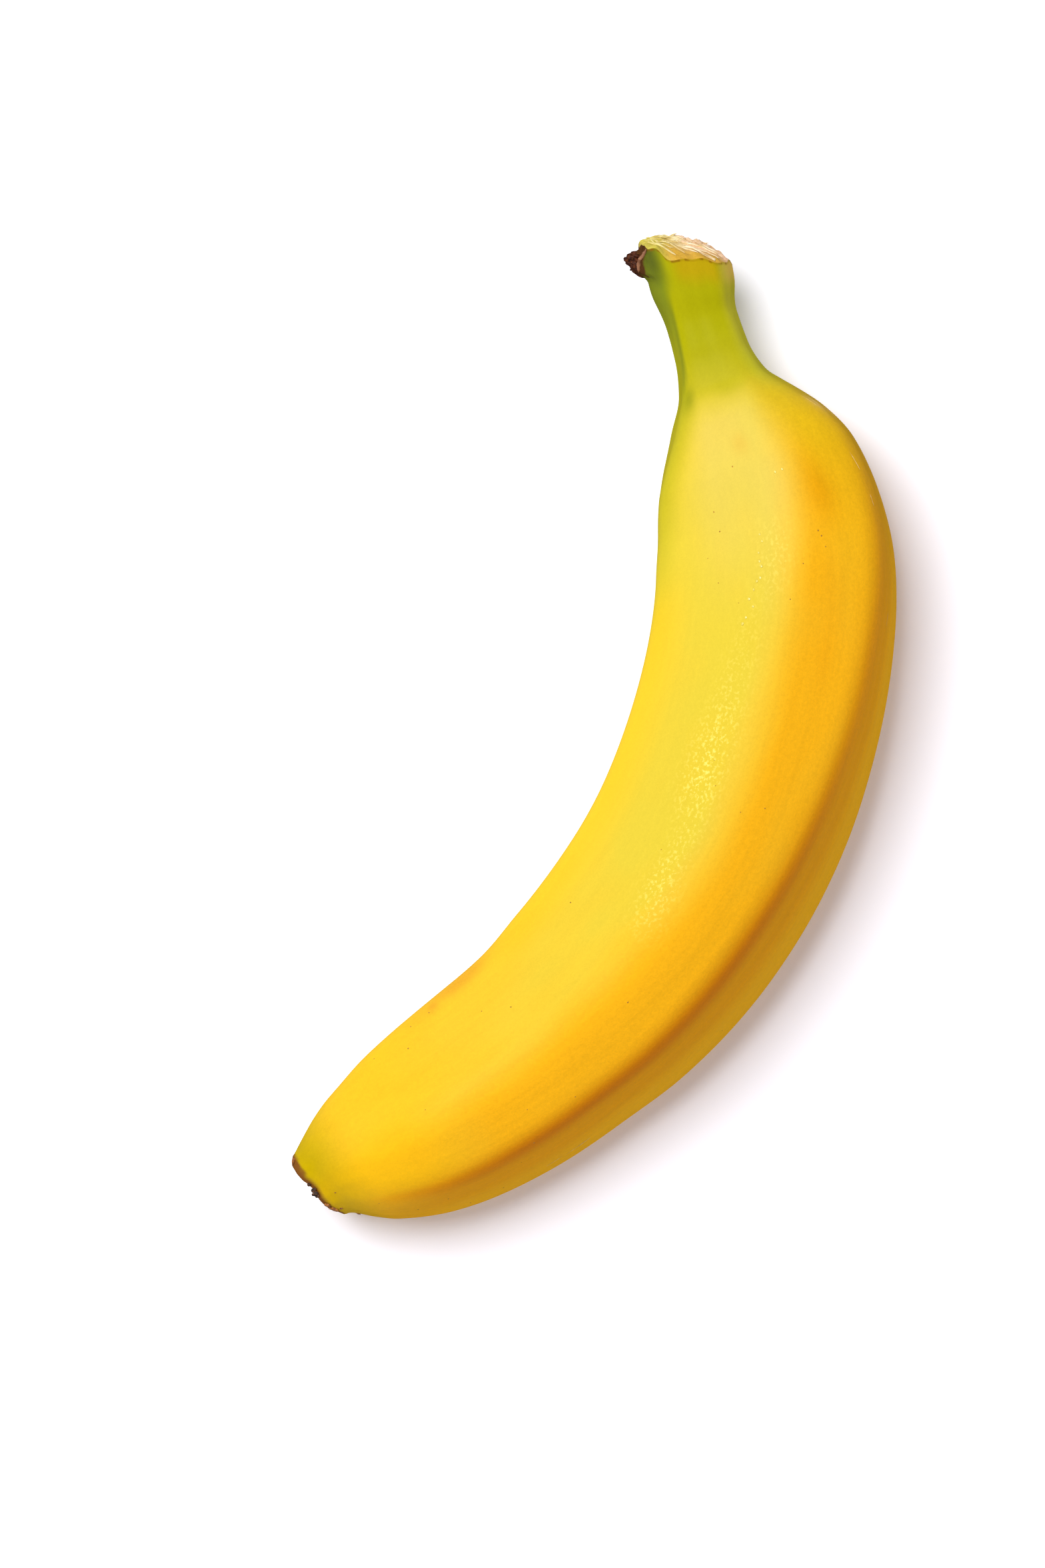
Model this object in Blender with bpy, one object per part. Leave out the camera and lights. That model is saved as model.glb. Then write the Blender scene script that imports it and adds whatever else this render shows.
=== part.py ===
"""A ripe banana, picked and lying on its side, at its real size in metres with +Z up.

It grew as one piece, so it is one solid: body, neck, stalk, the torn end of the stalk with
the dried flap that is left of the bunch's crown, and the dry scar at the blossom end.

It is turned as a straight peg first, and then each point of the peg is carried to its place
on the bent, ridged fruit. A place along the fruit is in millimetres from the stalk's torn
end. A place around it is an angle from the top, growing towards the outside of the bend.
The origin is under the middle of the fruit's box, and +Y points to the stalk.
"""
import math

import bmesh
import bpy
import numpy as np

MM = 0.001

# The whole length along the middle of the fruit, where that middle line starts, the step
# that it is drawn in, and how far it is drawn past the end for what leans out there
LENGTH = 184.6
LINE_START = (13.4, 77.36)
LINE_STEP = 0.25
LINE_SPARE = 5.0

# Place along in mm, and which way the middle line runs there, in degrees from +X
HEADING = (
    (0, -75), (17, -74), (31, -67), (45, -77), (63, -94.5),
    (93, -112), (123, -131.5), (153, -147), (171, -153.5), (184.6, -142),
)

# Place along, and half of the width there, both in mm: stalk, neck, body, tip
HALF_WIDTH = (
    (0, 7.3), (9, 6.2), (14, 5.75), (19, 5.95), (24, 7.1), (29, 10.4),
    (34, 13.7), (39, 16.1), (46, 17.75), (56, 19.0), (72, 19.45), (92, 19.7), (112, 19.4),
    (130, 18.45), (140, 17.3), (150, 16.65), (158, 15.8), (166, 14.3), (174, 11.5),
    (180, 8.2), (184.6, 5.1),
)

# The fruit is a little lower than it is wide
HEIGHT_PER_WIDTH = 0.95

# Place along, and how high the underside is there. Under the body it is just below zero,
# and the table cuts that off to the flat spot which the fruit lies on.
UNDERSIDE = (
    (0, 8.5), (17, 8.5), (33, 3.2), (48, -0.3), (148, -0.3), (168, 2.6), (184.6, 7.6),
)

# Around the fruit the peel has nearly flat sides, which meet in rounded ridges. For each
# side: the angle that it faces at each of the places along, and its distance from the
# middle there, as a share of the half width.
SIDE_PLACES = (12, 26, 40, 70, 112, 165)
PEEL_SIDES = {
    "upper side, inside the bend": ((-8, -18, -26, -28, -28, -28), (0.90, 0.86, 0.82, 0.89, 0.90, 0.88)),
    "upper side, outside the bend": ((6, 14, 20, 21, 21, 21), (0.90, 0.96, 1.02, 0.95, 0.935, 0.94)),
    "outer side": ((74, 81, 84, 76, 70, 71), (0.82, 0.95, 1.03, 0.925, 0.83, 0.87)),
    "lower side, outside the bend": ((132, 132, 132, 132, 130, 130), (0.90, 0.92, 0.94, 0.94, 0.94, 0.94)),
    "underside": ((180, 180, 180, 180, 180, 180), (0.88, 0.90, 0.90, 0.90, 0.90, 0.90)),
    "lower side, inside the bend": ((-134, -136, -138, -140, -140, -140), (0.90, 0.90, 0.92, 0.92, 0.92, 0.92)),
    "inner side": ((-76, -84, -92, -96, -96, -96), (0.82, 0.88, 0.91, 0.92, 0.92, 0.92)),
}

# How sharp the ridges are, and the softer one between the two upper sides
RIDGE_SHARPNESS = 26.0
CREST_SHARPNESS = 12.0
CREST_ANGLE = 0.0
CREST_SPREAD = 22.0

# Degrees between the turns at which a section is measured, to fit it to its width and height
TURN_STEP = 2.0

# Torn end of the stalk: where its middle is, how far it leans along the stalk for each
# millimetre outwards and upwards, and where the lean has died out
TEAR_PLACE = 3.0
TEAR_LEAN_OUT = 0.5
TEAR_LEAN_UP = 0.24
TEAR_FADE_END = 16.0

# Waves of the ragged edge: how many go round the stalk, their height in mm, where they start
RAGGED_WAVES = ((3, 0.3, 1.0), (7, 0.21, 2.0), (13, 0.15, 0.0))

# Dried flap of the crown on the inner side of the stalk: place, angle, height, both spreads
FLAP_PLACE = 5.3
FLAP_ANGLE = -85.0
FLAP_HEIGHT = 2.7
FLAP_SPREAD_ALONG = 2.5
FLAP_SPREAD_AROUND = 30.0

# Blossom end: its face leans towards the stalk for each millimetre outwards
SCAR_LEAN_OUT = -0.1
SCAR_FADE_START = 174.0

# Turned outline of the peg: share of the half width, and place along
TORN_FLESH = ((0.0, 1.3), (0.45, 1.3), (0.75, 1.9), (0.92, 2.5), (1.0, TEAR_PLACE))
BLOSSOM_SCAR = ((1.0, 184.1), (0.94, LENGTH), (0.75, 184.3), (0.5, 183.7), (0.25, 184.3), (0.0, 184.5))

# Rings between those two ends: where a stretch ends, and how far apart its rings are
RING_STRETCHES = ((20, 1.3), (44, 1.7), (160, 4.0), (180, 2.0), (183.4, 1.1))
SIDES = 64

# Colours: name, linear colour and roughness, in the order of the material slots. The green
# of the stalk ends at a place along, the torn flesh ends at a share of the half width, and
# the dried rim of the scar is so many mm wide.
PEEL, STALK, FLESH, DRY = range(4)
SKINS = (
    ("yellow peel", (0.88, 0.52, 0.03), 0.4),
    ("green stalk", (0.45, 0.46, 0.03), 0.45),
    ("torn flesh", (0.75, 0.55, 0.32), 0.8),
    ("dried skin", (0.07, 0.035, 0.02), 0.8),
)
STALK_GREEN_END = 24.0
FLESH_EDGE = 0.97
SCAR_RIM = 1.0

# Edges that turn more than this many degrees stay crisp, the rest is smooth
CRISP_ANGLE = 40.0


def smooth_through(rows, places):
    """Values at the given places on a smooth curve through the rows, with no overshoot."""
    knots, values = np.array(rows, dtype=float).T
    runs = np.diff(knots)
    slopes = np.diff(values) / runs
    before, after = slopes[:-1], slopes[1:]
    same_way = before * after > 0
    total = np.where(same_way, before + after, 1.0)
    middle = np.where(same_way, 2 * before * after / total, 0.0)
    tangents = np.concatenate((slopes[:1], middle, slopes[-1:]))
    places = np.clip(places, knots[0], knots[-1])
    i = np.clip(np.searchsorted(knots, places, side="right") - 1, 0, len(runs) - 1)
    t = (places - knots[i]) / runs[i]
    held = (1 + 2 * t) * (1 - t) ** 2 * values[i] + t * t * (3 - 2 * t) * values[i + 1]
    swung = t * (1 - t) ** 2 * tangents[i] + t * t * (t - 1) * tangents[i + 1]
    return held + swung * runs[i]


def fade(places, start, end):
    """1 before start, 0 after end, and a smooth fall between them."""
    t = np.clip((places - start) / (end - start), 0.0, 1.0)
    return 1 - t * t * (3 - 2 * t)


def middle_line(along):
    """Points and headings of the middle line, seen from above."""
    fine = np.arange(0.0, LENGTH + LINE_SPARE, LINE_STEP)
    heading = np.radians(smooth_through(HEADING, fine))
    halfway = (heading[1:] + heading[:-1]) / 2
    steps = np.diff(fine)
    line_x = LINE_START[0] + np.concatenate(([0.0], np.cumsum(np.cos(halfway) * steps)))
    line_y = LINE_START[1] + np.concatenate(([0.0], np.cumsum(np.sin(halfway) * steps)))
    here = np.radians(smooth_through(HEADING, along))
    beyond = np.minimum(along, 0.0)
    x = np.interp(along, fine, line_x) + beyond * np.cos(here)
    y = np.interp(along, fine, line_y) + beyond * np.sin(here)
    return x, y, here


def side_outline(along, angle):
    """Distance of the peel from the middle, before the section is fitted to its size."""
    near_crest = np.exp(-(((angle - CREST_ANGLE) / CREST_SPREAD) ** 2))
    sharpness = RIDGE_SHARPNESS - (RIDGE_SHARPNESS - CREST_SHARPNESS) * near_crest
    total = np.zeros_like(along)
    for facings, distances in PEEL_SIDES.values():
        facing = smooth_through(list(zip(SIDE_PLACES, facings)), along)
        distance = smooth_through(list(zip(SIDE_PLACES, distances)), along)
        towards = np.maximum(np.cos(np.radians(angle - facing)), 0.0)
        total += (towards / distance) ** sharpness
    return total ** (-1 / sharpness)


def peel_section(along, angle):
    """Outward and upward place on the peel, with each section fitted from -1 to 1 both ways."""
    rings, ring_of = np.unique(np.round(along, 4), return_inverse=True)
    turns = np.arange(-180.0, 180.0, TURN_STEP)
    ring_grid, turn_grid = np.meshgrid(rings, turns, indexing="ij")
    distance = side_outline(ring_grid, turn_grid)
    here = side_outline(along, angle)
    fitted = []
    for direction in (np.sin, np.cos):
        reach = distance * direction(np.radians(turn_grid))
        high, low = reach.max(axis=1), reach.min(axis=1)
        middle, half = ((high + low) / 2)[ring_of], ((high - low) / 2)[ring_of]
        fitted.append((here * direction(np.radians(angle)) - middle) / half)
    return fitted


def flap(along, angle):
    """How far the dried flap of the crown stands out of the stalk, in mm."""
    away = (angle - FLAP_ANGLE + 180) % 360 - 180
    off_centre = ((along - FLAP_PLACE) / FLAP_SPREAD_ALONG) ** 4 + (away / FLAP_SPREAD_AROUND) ** 2
    return FLAP_HEIGHT * np.exp(-off_centre)


def ragged(angle):
    """Uneven edge of the tear, in mm along the stalk."""
    turn = np.radians(angle)
    return sum(height * np.sin(waves * turn + start) for waves, height, start in RAGGED_WAVES)


def carry_to_fruit(peg):
    """Moves points of the straight peg to their places on the fruit. Both are in mm."""
    outwards, upwards, along = peg.T
    share = np.hypot(outwards, upwards)
    angle = np.degrees(np.arctan2(outwards, upwards))

    half_width = smooth_through(HALF_WIDTH, along)
    half_height = half_width * HEIGHT_PER_WIDTH
    section_out, section_up = peel_section(along, angle)
    out = section_out * half_width * share
    up = section_up * half_height * share

    stalk_end = fade(along, TEAR_PLACE, TEAR_FADE_END)
    blossom_end = 1 - fade(along, SCAR_FADE_START, LENGTH)
    tear = TEAR_LEAN_OUT * out + TEAR_LEAN_UP * up + ragged(angle) * share
    leaning = along + stalk_end * tear + blossom_end * SCAR_LEAN_OUT * out

    stands_out = flap(along, angle) * share
    out += stands_out * np.sin(np.radians(angle))
    up += stands_out * np.cos(np.radians(angle))

    x, y, heading = middle_line(leaning)
    middle_height = smooth_through(UNDERSIDE, along) + half_height
    return np.column_stack((x - out * np.sin(heading), y + out * np.cos(heading), middle_height + up))


def peg_outline():
    """Share of the half width and place along, from the torn end's middle to the scar's."""
    rings = []
    place = TEAR_PLACE
    for stretch_end, spacing in RING_STRETCHES:
        count = round((stretch_end - place) / spacing)
        rings.extend((1.0, ring) for ring in np.linspace(place, stretch_end, count + 1)[1:])
        place = stretch_end
    return list(TORN_FLESH) + rings + list(BLOSSOM_SCAR)


def turned_peg():
    """The straight peg, one unit in radius and as long as the fruit, closed at both ends."""
    peg = bmesh.new()
    outline = [peg.verts.new((0.0, share, place)) for share, place in peg_outline()]
    edges = [peg.edges.new(pair) for pair in zip(outline, outline[1:])]
    bmesh.ops.spin(
        peg, geom=outline + edges, cent=(0, 0, 0), axis=(0, 0, 1),
        angle=math.tau, steps=SIDES, use_merge=True,
    )
    bmesh.ops.remove_doubles(peg, verts=peg.verts, dist=0.0001)
    return peg


def paint_regions(peg):
    """Gives each face the number of its material."""
    for face in peg.faces:
        middle = face.calc_center_median()
        share = math.hypot(middle.x, middle.y)
        angle = math.degrees(math.atan2(middle.x, middle.y))
        if middle.z < TEAR_PLACE and share < FLESH_EDGE:
            face.material_index = FLESH
        elif middle.z > LENGTH - SCAR_RIM:
            face.material_index = DRY
        elif flap(middle.z, angle) > FLAP_HEIGHT / 2:
            face.material_index = DRY
        elif middle.z < STALK_GREEN_END:
            face.material_index = STALK
        else:
            face.material_index = PEEL


def cut_flat_spot(fruit):
    """Cuts the underside off at the table and closes the cut."""
    everything = list(fruit.verts) + list(fruit.edges) + list(fruit.faces)
    cut = bmesh.ops.bisect_plane(
        fruit, geom=everything, plane_co=(0, 0, 0), plane_no=(0, 0, 1), clear_inner=True,
    )
    rim = [piece for piece in cut["geom_cut"] if isinstance(piece, bmesh.types.BMEdge)]
    bmesh.ops.holes_fill(fruit, edges=rim, sides=0)


def skin_material(name, colour, roughness):
    material = bpy.data.materials.new(name)
    material.use_nodes = True
    shader = material.node_tree.nodes["Principled BSDF"]
    shader.inputs["Base Color"].default_value = (*colour, 1.0)
    shader.inputs["Roughness"].default_value = roughness
    shader.inputs["Metallic"].default_value = 0.0
    return material


def make_banana():
    fruit = turned_peg()
    paint_regions(fruit)
    peg = np.array([vert.co for vert in fruit.verts])
    for vert, place in zip(fruit.verts, carry_to_fruit(peg)):
        vert.co = place * MM
    cut_flat_spot(fruit)
    bmesh.ops.recalc_face_normals(fruit, faces=fruit.faces)

    mesh = bpy.data.meshes.new("banana")
    fruit.to_mesh(mesh)
    fruit.free()
    for skin in SKINS:
        mesh.materials.append(skin_material(*skin))
    mesh.shade_smooth()
    mesh.set_sharp_from_angle(angle=math.radians(CRISP_ANGLE))
    banana = bpy.data.objects.new("banana", mesh)
    bpy.context.collection.objects.link(banana)
    return banana


for old in list(bpy.data.objects):
    bpy.data.objects.remove(old, do_unlink=True)

make_banana()
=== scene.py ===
"""A ripe banana in its peel, seen from straight above on a white table.

The fruit grew as one piece, so one skin runs over body, neck and stalk. What was torn or has
dried stands on that skin as small pieces of its own: strands and scraps of flesh at the torn
end, the scales and the fold that are left of the crown, the scabs of the blossom end, and a
few blisters, specks and scratches on the peel.
"""
import math
import random

import bmesh
import bpy
import numpy as np
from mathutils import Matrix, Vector, noise


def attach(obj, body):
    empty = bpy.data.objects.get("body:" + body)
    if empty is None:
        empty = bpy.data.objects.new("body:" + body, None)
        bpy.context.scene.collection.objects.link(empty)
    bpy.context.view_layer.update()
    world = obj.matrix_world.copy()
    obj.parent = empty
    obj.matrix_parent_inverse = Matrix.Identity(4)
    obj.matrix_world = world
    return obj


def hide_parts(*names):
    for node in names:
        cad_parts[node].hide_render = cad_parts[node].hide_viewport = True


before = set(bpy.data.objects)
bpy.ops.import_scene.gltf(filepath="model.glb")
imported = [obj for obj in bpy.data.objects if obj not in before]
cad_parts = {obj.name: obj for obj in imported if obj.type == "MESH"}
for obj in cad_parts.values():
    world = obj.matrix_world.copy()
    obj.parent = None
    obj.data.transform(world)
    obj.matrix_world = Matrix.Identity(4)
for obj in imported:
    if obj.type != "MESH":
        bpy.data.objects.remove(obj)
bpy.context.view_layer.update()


# Skin of the whole fruit
# The peel is one closed skin from the torn end of the stalk to the scar at the blossom end.
# It is turned as a straight peg, and each ring is then carried to its place on the bent,
# ridged fruit. Along is in mm from the torn end, and an angle is from the top, growing
# towards the outside of the bend.
MM = 0.001
LENGTH = 184.6
LINE_START = (13.4, 77.36)
LINE_STEP = 0.25
LINE_SPARE = 5.0
HEADING = (
    (0, -75), (17, -74), (31, -67), (45, -77), (63, -94.5),
    (93, -112), (123, -131.5), (153, -147), (171, -153.5), (184.6, -142),
)
HALF_WIDTH = (
    (0, 7.3), (9, 6.2), (14, 5.75), (19, 5.95), (24, 7.1), (29, 10.4),
    (34, 13.7), (39, 16.1), (46, 17.75), (56, 19.0), (72, 19.45), (92, 19.7), (112, 19.4),
    (130, 18.45), (140, 17.3), (150, 16.65), (158, 15.8), (166, 14.3), (174, 11.5),
    (180, 8.2), (184.6, 5.1),
)
HEIGHT_PER_WIDTH = 0.95
UNDERSIDE = (
    (0, 8.5), (17, 8.5), (33, 3.2), (48, -0.3), (148, -0.3), (168, 2.6), (184.6, 7.6),
)

# The nearly flat sides: which way each faces at each place along, and its share of the half
# width away from the middle. They meet in rounded ridges, which soften towards the blossom end.
SIDE_PLACES = (12, 26, 40, 70, 112, 165)
UPPER_INNER = "upper side, inside the bend"
UPPER_OUTER = "upper side, outside the bend"
OUTER = "outer side"
INNER = "inner side"
PEEL_SIDES = {
    UPPER_INNER: ((-8, -18, -26, -28, -28, -28), (0.90, 0.86, 0.82, 0.89, 0.90, 0.88)),
    UPPER_OUTER: ((6, 14, 20, 21, 21, 21), (0.90, 0.96, 1.02, 0.95, 0.935, 0.94)),
    OUTER: ((74, 81, 84, 76, 70, 71), (0.82, 0.95, 1.03, 0.925, 0.83, 0.87)),
    "lower side, outside the bend": ((132, 132, 132, 132, 130, 130), (0.90, 0.92, 0.94, 0.94, 0.94, 0.94)),
    "underside": ((180, 180, 180, 180, 180, 180), (0.88, 0.90, 0.90, 0.90, 0.90, 0.90)),
    "lower side, inside the bend": ((-134, -136, -138, -140, -140, -140), (0.90, 0.90, 0.92, 0.92, 0.92, 0.92)),
    INNER: ((-76, -84, -92, -96, -96, -96), (0.82, 0.88, 0.91, 0.92, 0.92, 0.92)),
}
RIDGE_SHARPNESS = 26.0
CREST_SHARPNESS = 12.0
CREST_SPREAD = 22.0
OUTER_RIDGE_SHARPNESS = 15.0
OUTER_RIDGE_SPREAD = 18.0
SOFT_SHARPNESS = 6.5
SOFTNESS = ((14, 1.0), (26, 0.8), (44, 0.2), (70, 0.0), (150, 0.0), (180, 1.0))
TURN_STEP = 2.0

# The torn end leans along the stalk, and so does the scar's face, in mm for each mm across
TEAR_PLACE = 3.0
TEAR_LEAN_OUT = 0.5
TEAR_LEAN_UP = 0.24
TEAR_FADE_END = 16.0
RAGGED_WAVES = ((3, 0.3, 1.0), (7, 0.21, 2.0), (13, 0.15, 0.0))
SCAR_LEAN_OUT = -0.1
SCAR_FADE_START = 174.0

# Dried flap of the crown on the inner side of the stalk
FLAP_PROFILE = (
    (3.0, -0.35), (3.7, -0.05), (4.4, 0.45), (5.2, 0.85), (5.8, 1.0), (6.5, 1.0), (6.9, 0.85),
    (7.3, 0.25), (7.8, 0.0),
)
FLAP_ANGLE = -85.0
FLAP_HEIGHT = 1.9
FLAP_SPREAD_AROUND = 30.0

# How much fuller the peel is than its flat sides give, in mm, at each place along
FULLNESS = {
    80.0: (
        (10, 0.1), (18, 0.35), (24, 0.45), (30, 0.3), (36, 0.45), (44, 0.4), (56, 0.3), (75, 0.15), (84, 0.0),
        (132, 0.0), (144, 0.3), (156, 0.45), (168, 0.6), (174, 0.8), (179, 1.05), (184.6, 0.3),
    ),
    -85.0: ((10, -0.1), (18, -0.25), (24, -0.2), (34, 0.0), (150, 0.0), (168, -0.2), (180, -0.55), (184.6, -0.25)),
}
FULLNESS_SPREAD = 42.0

# Both ends of the turned outline: place along for each share of the half width
TORN_FLESH = ((0.0, 1.3), (0.45, 1.3), (0.75, 1.9), (0.92, 2.5), (1.0, TEAR_PLACE))
BLOSSOM_SCAR = (
    (0.0, 184.5), (0.25, 184.3), (0.5, 183.7), (0.75, 184.3), (0.88, LENGTH), (0.96, 184.25), (1.0, 183.5),
)
SCAR_PLACE = 183.0
LIP_INSIDE = 0.8
END_RINGS = 30
RING_STRETCHES = ((9, 0.25), (26, 0.42), (172, 0.62), (183.5, 0.33))
SIDES = 240

# Unevenness: its height in mm, the size of its lumps in mm, and its seed. On the peel the
# sizes are out, up and along, and on the torn end along the strands, across them and along.
FLESH_BELOW = (0.16, (12, 12, 26), 3.1)
FIBRE_RIBS = (0.035, (1.8, 1.8, 34), 7.7)
NECK_FOLDS = (0.16, (2.6, 2.6, 15), 1.9)
TIP_PUCKERS = (0.16, (2.4, 2.4, 9), 5.2)
FLAP_CRUST = ((0.35, (0.8, 0.8, 1.3), 6.6), (0.2, (0.35, 0.35, 0.35), 1.4))
RIM_CRUST = (0.28, (1.6, 1.6, 1.0), 9.3)
SCAR_CRUST = ((0.45, (1.3, 1.3, 1.3), 3.9), (0.2, (0.5, 0.5, 0.5), 0.7))
TORN_STRANDS = ((0.45, (9.0, 2.4, 5.0), 2.3), (0.35, (5.0, 0.9, 3.0), 8.8), (0.2, (1.0, 1.0, 1.0), 4.1))
STRAND_TURN = math.radians(40)

# How far the edge of the tear stands towards the fruit, in mm, for each side place
TEAR_EDGE_UPPER = (
    (-1, -0.2), (-0.6, -0.4), (-0.42, 0.6), (-0.2, 0.0), (0.07, -0.9), (0.3, -0.9), (0.67, -0.8),
    (0.9, -0.4), (1, -0.2),
)
TEAR_EDGE_LOWER = ((-1, 0), (-0.6, 0.1), (-0.3, 0.45), (0.0, 0.3), (0.45, -0.5), (0.9, -0.2), (1, 0))

# How far the lip of the blossom scar stands out along the fruit, in mm, and the place along where
# it turns brown, for each side place
SCAR_EDGE = (
    (-1, 0.0), (-0.8, 0.12), (-0.55, 0.3), (-0.38, 0.3), (-0.18, 0.1), (0.05, 0.0), (0.26, 0.2),
    (0.45, 0.5), (0.7, 0.55), (1, 0.5),
)
LIP_START = (
    (-1, 183.0), (-0.8, 183.25), (-0.4, 183.5), (-0.1, 183.65), (0.1, 183.7), (0.4, 183.85), (0.6, 183.75),
    (0.85, 183.4), (1, 183.4),
)


def smooth_through(rows, places):
    """Values at the given places on a smooth curve through the rows, with no overshoot."""
    knots, values = np.array(rows, dtype=float).T
    runs = np.diff(knots)
    slopes = np.diff(values) / runs
    before, after = slopes[:-1], slopes[1:]
    same_way = before * after > 0
    total = np.where(same_way, before + after, 1.0)
    middle = np.where(same_way, 2 * before * after / total, 0.0)
    tangents = np.concatenate((slopes[:1], middle, slopes[-1:]))
    places = np.clip(places, knots[0], knots[-1])
    i = np.clip(np.searchsorted(knots, places, side="right") - 1, 0, len(runs) - 1)
    t = (places - knots[i]) / runs[i]
    held = (1 + 2 * t) * (1 - t) ** 2 * values[i] + t * t * (3 - 2 * t) * values[i + 1]
    swung = t * (1 - t) ** 2 * tangents[i] + t * t * (t - 1) * tangents[i + 1]
    return held + swung * runs[i]


def rise(values, start, end):
    """0 before start, 1 after end, and a smooth climb between them."""
    t = np.clip((values - start) / (end - start), 0.0, 1.0)
    return t * t * (3 - 2 * t)


def fall(values, start, end):
    """1 before start, 0 after end, and a smooth drop between them."""
    return 1 - rise(values, start, end)


def hump(values, middle, spread):
    """1 at the middle, falling off smoothly to both sides."""
    return np.exp(-(((values - middle) / spread) ** 2))


def middle_line(along):
    """Points and headings of the fruit's middle line, seen from above."""
    fine = np.arange(0.0, LENGTH + LINE_SPARE, LINE_STEP)
    heading = np.radians(smooth_through(HEADING, fine))
    halfway = (heading[1:] + heading[:-1]) / 2
    steps = np.diff(fine)
    line_x = LINE_START[0] + np.concatenate(([0.0], np.cumsum(np.cos(halfway) * steps)))
    line_y = LINE_START[1] + np.concatenate(([0.0], np.cumsum(np.sin(halfway) * steps)))
    here = np.radians(smooth_through(HEADING, along))
    beyond = np.minimum(along, 0.0)
    x = np.interp(along, fine, line_x) + beyond * np.cos(here)
    y = np.interp(along, fine, line_y) + beyond * np.sin(here)
    return x, y, here


def peel_side(name, along):
    """Which way one side of the peel faces at each place along, and its distance."""
    facings, distances = PEEL_SIDES[name]
    facing = smooth_through(list(zip(SIDE_PLACES, facings)), along)
    return np.radians(facing), smooth_through(list(zip(SIDE_PLACES, distances)), along)


def ridge_angle(first, second, along):
    """Angle of the ridge between two neighbouring sides, the first of which faces more inwards."""
    first_facing, first_distance = peel_side(first, along)
    second_facing, second_distance = peel_side(second, along)
    across = second_distance * np.cos(first_facing) - first_distance * np.cos(second_facing)
    upwards = first_distance * np.sin(second_facing) - second_distance * np.sin(first_facing)
    return np.degrees(np.arctan2(across, upwards))


def side_outline(along, angle):
    """Distance of the peel from the middle, before the section is fitted to its size."""
    near_crest = hump(angle, 0.0, CREST_SPREAD)
    near_outer_ridge = hump(angle, ridge_angle(UPPER_OUTER, OUTER, along), OUTER_RIDGE_SPREAD)
    sharpness = RIDGE_SHARPNESS - (RIDGE_SHARPNESS - CREST_SHARPNESS) * near_crest
    sharpness = sharpness - (sharpness - OUTER_RIDGE_SHARPNESS) * near_outer_ridge
    sharpness = sharpness - (sharpness - SOFT_SHARPNESS) * smooth_through(SOFTNESS, along)
    total = np.zeros_like(along)
    for name in PEEL_SIDES:
        facing, distance = peel_side(name, along)
        towards = np.maximum(np.cos(np.radians(angle) - facing), 0.0)
        total += (towards / distance) ** sharpness
    return total ** (-1 / sharpness)


def peel_section(along, angle):
    """Outward and upward place on the peel, with each section fitted from -1 to 1 both ways."""
    rings, ring_of = np.unique(np.round(along, 4), return_inverse=True)
    turns = np.arange(-180.0, 180.0, TURN_STEP)
    ring_grid, turn_grid = np.meshgrid(rings, turns, indexing="ij")
    distance = side_outline(ring_grid, turn_grid)
    here = side_outline(along, angle)
    fitted = []
    for direction in (np.sin, np.cos):
        reach = distance * direction(np.radians(turn_grid))
        high, low = reach.max(axis=1), reach.min(axis=1)
        middle, half = ((high + low) / 2)[ring_of], ((high - low) / 2)[ring_of]
        fitted.append((here * direction(np.radians(angle)) - middle) / half)
    return fitted


def flap_height(along, angle):
    """How far the dried flap of the crown stands out of the stalk, in mm."""
    away = (angle - FLAP_ANGLE + 180) % 360 - 180
    return FLAP_HEIGHT * smooth_through(FLAP_PROFILE, along) * hump(away, 0.0, FLAP_SPREAD_AROUND)


def in_section(share, angle, along, lift):
    """Outward and upward place in mm, measured from the fruit's middle line."""
    half_width = smooth_through(HALF_WIDTH, along)
    section_out, section_up = peel_section(along, angle)
    lifted = lift + flap_height(along, angle) * share
    out = section_out * half_width * share + lifted * np.sin(np.radians(angle))
    up = section_up * half_width * HEIGHT_PER_WIDTH * share + lifted * np.cos(np.radians(angle))
    return out, up


def carry(share, angle, along, lift=0.0, forward=0.0):
    """Places on the fruit, in mm, for places on the straight peg. Lift is away from the
    middle line, and forward is along it."""
    out, up = in_section(share, angle, along, lift)
    turn = np.radians(angle)
    ragged = sum(height * np.sin(waves * turn + start) for waves, height, start in RAGGED_WAVES)
    stalk_end = fall(along, TEAR_PLACE, TEAR_FADE_END)
    tear = TEAR_LEAN_OUT * out + TEAR_LEAN_UP * up + ragged * share
    leaning = along + stalk_end * tear + rise(along, SCAR_FADE_START, LENGTH) * SCAR_LEAN_OUT * out
    x, y, heading = middle_line(leaning + forward)
    half_height = smooth_through(HALF_WIDTH, along) * HEIGHT_PER_WIDTH
    height = smooth_through(UNDERSIDE, along) + half_height + up
    return np.column_stack((x - out * np.sin(heading), y + out * np.cos(heading), height))


def lumps(points, size, seed):
    """Smooth noise from -1 to 1. Size is the lumps' size in mm, along each axis."""
    return np.array([noise.noise(Vector(point)) for point in points / np.array(size) + seed])


def uneven(points, height, size, seed):
    """Lumps of a height in mm."""
    return height * lumps(points, size, seed)


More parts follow.
